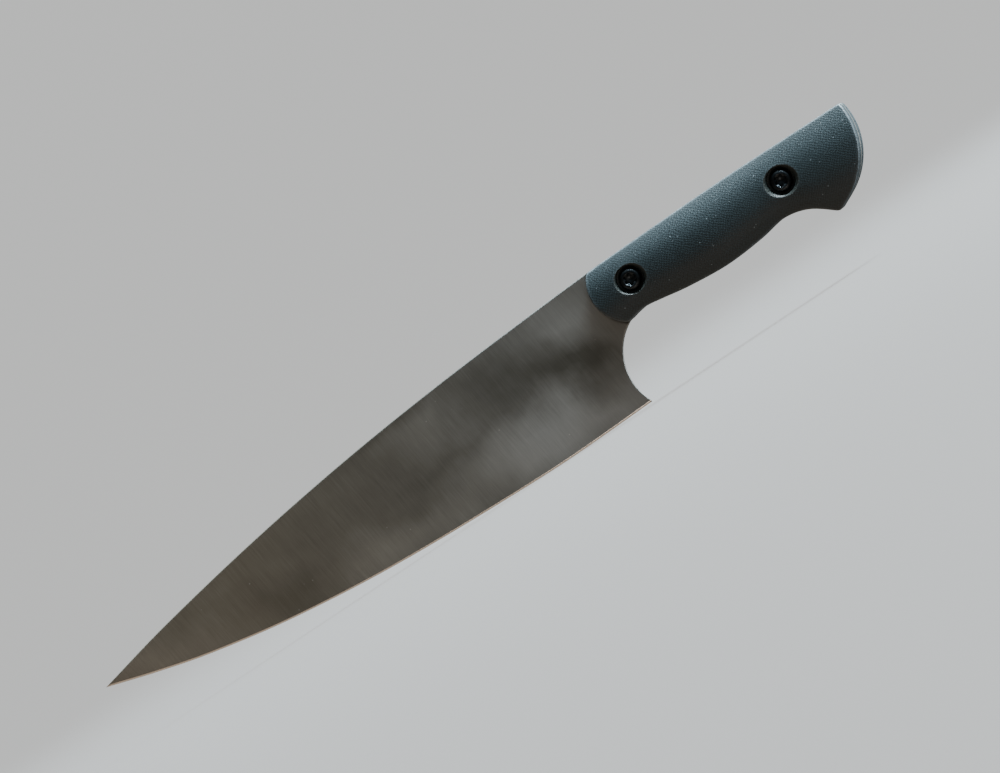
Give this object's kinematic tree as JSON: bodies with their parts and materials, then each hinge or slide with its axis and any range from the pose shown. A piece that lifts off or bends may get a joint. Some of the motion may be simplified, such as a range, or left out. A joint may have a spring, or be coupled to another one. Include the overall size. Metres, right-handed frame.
{
  "type": "chef knife",
  "caption": "Full-tang chef's knife with a flat-ground blade, a deep finger notch at the heel, and contoured laminate handle scales held by button-head screws.",
  "frame": {"origin": "middle of the knife's length, on its mid-plane, at the height of the cutting edge's lowest point: the board that the edge meets in use", "axes": "+X from the blade's tip to the handle's butt, +Y to the right of a person who holds the knife and looks at its tip, +Z from the cutting edge to the spine"},
  "size_m": [0.307, 0.0186, 0.0476],
  "materials": {
    "blade_steel": "satin, belt-ground from spine to edge, dull warm grey",
    "handle_laminate": "matte blue-grey cloth laminate, contoured, weave showing",
    "sleeve_steel": "bright turned",
    "screw_steel": "black oxide"
  },
  "bodies": {
    "root": {"blade_with_tang": "blade_steel", "scale_left": "handle_laminate", "scale_right": "handle_laminate", "sleeve_front": "sleeve_steel", "sleeve_rear": "sleeve_steel", "screw_front_left": "screw_steel", "screw_front_right": "screw_steel", "screw_rear_left": "screw_steel", "screw_rear_right": "screw_steel"}
  },
  "joints": []
}
